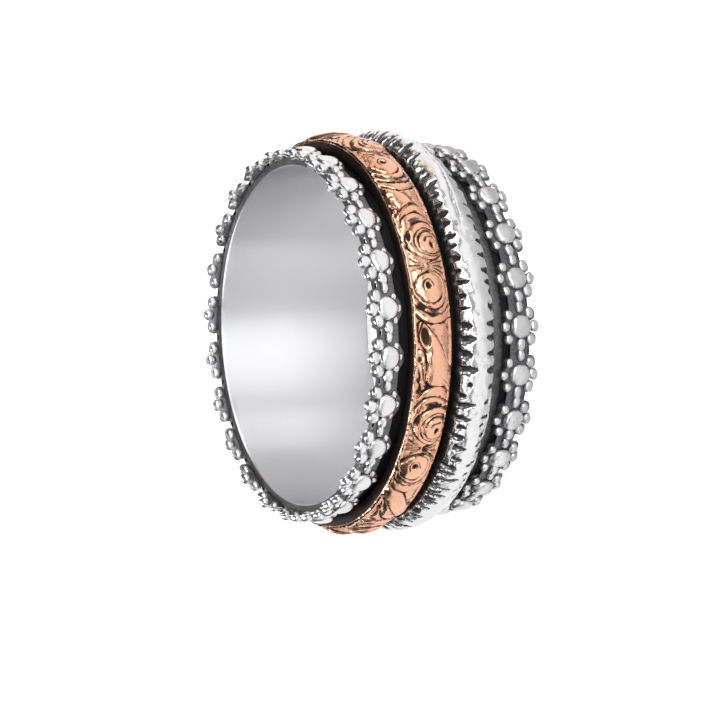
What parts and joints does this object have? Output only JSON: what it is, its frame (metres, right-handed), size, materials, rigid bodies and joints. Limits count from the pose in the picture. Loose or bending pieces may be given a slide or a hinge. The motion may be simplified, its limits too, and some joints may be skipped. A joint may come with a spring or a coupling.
{
  "type": "spinner ring",
  "caption": "Wide silver finger ring with beaded rims and two loose outer bands that spin on it, one of rose gold with raised roses and one of notched silver.",
  "frame": {"origin": "on the finger axis, at the level of the rear bead tips on which the ring lies", "axes": "+Z along the finger axis to the front rim; -Y towards the side that the picture shows"},
  "size_m": [0.0206, 0.0206, 0.0096],
  "materials": {
    "oxidized_silver": "polished sterling silver, blackened in its recesses",
    "rose_gold": "polished rose gold, dark brown in its recesses",
    "hammered_silver": "bright hammered sterling silver with blackened notches"
  },
  "bodies": {
    "base": {"base_band": "oxidized_silver"},
    "rose_spinner": {"rose_band": "rose_gold"},
    "silver_spinner": {"silver_band": "hammered_silver"}
  },
  "joints": [
    {"name": "rose_spin", "type": "hinge", "parent": "base", "child": "rose_spinner", "pos_m": [0, 0, 0.00636], "axis": [0, 0, 1], "continuous": true},
    {"name": "silver_spin", "type": "hinge", "parent": "base", "child": "silver_spinner", "pos_m": [0, 0, 0.0038], "axis": [0, 0, 1], "continuous": true}
  ]
}
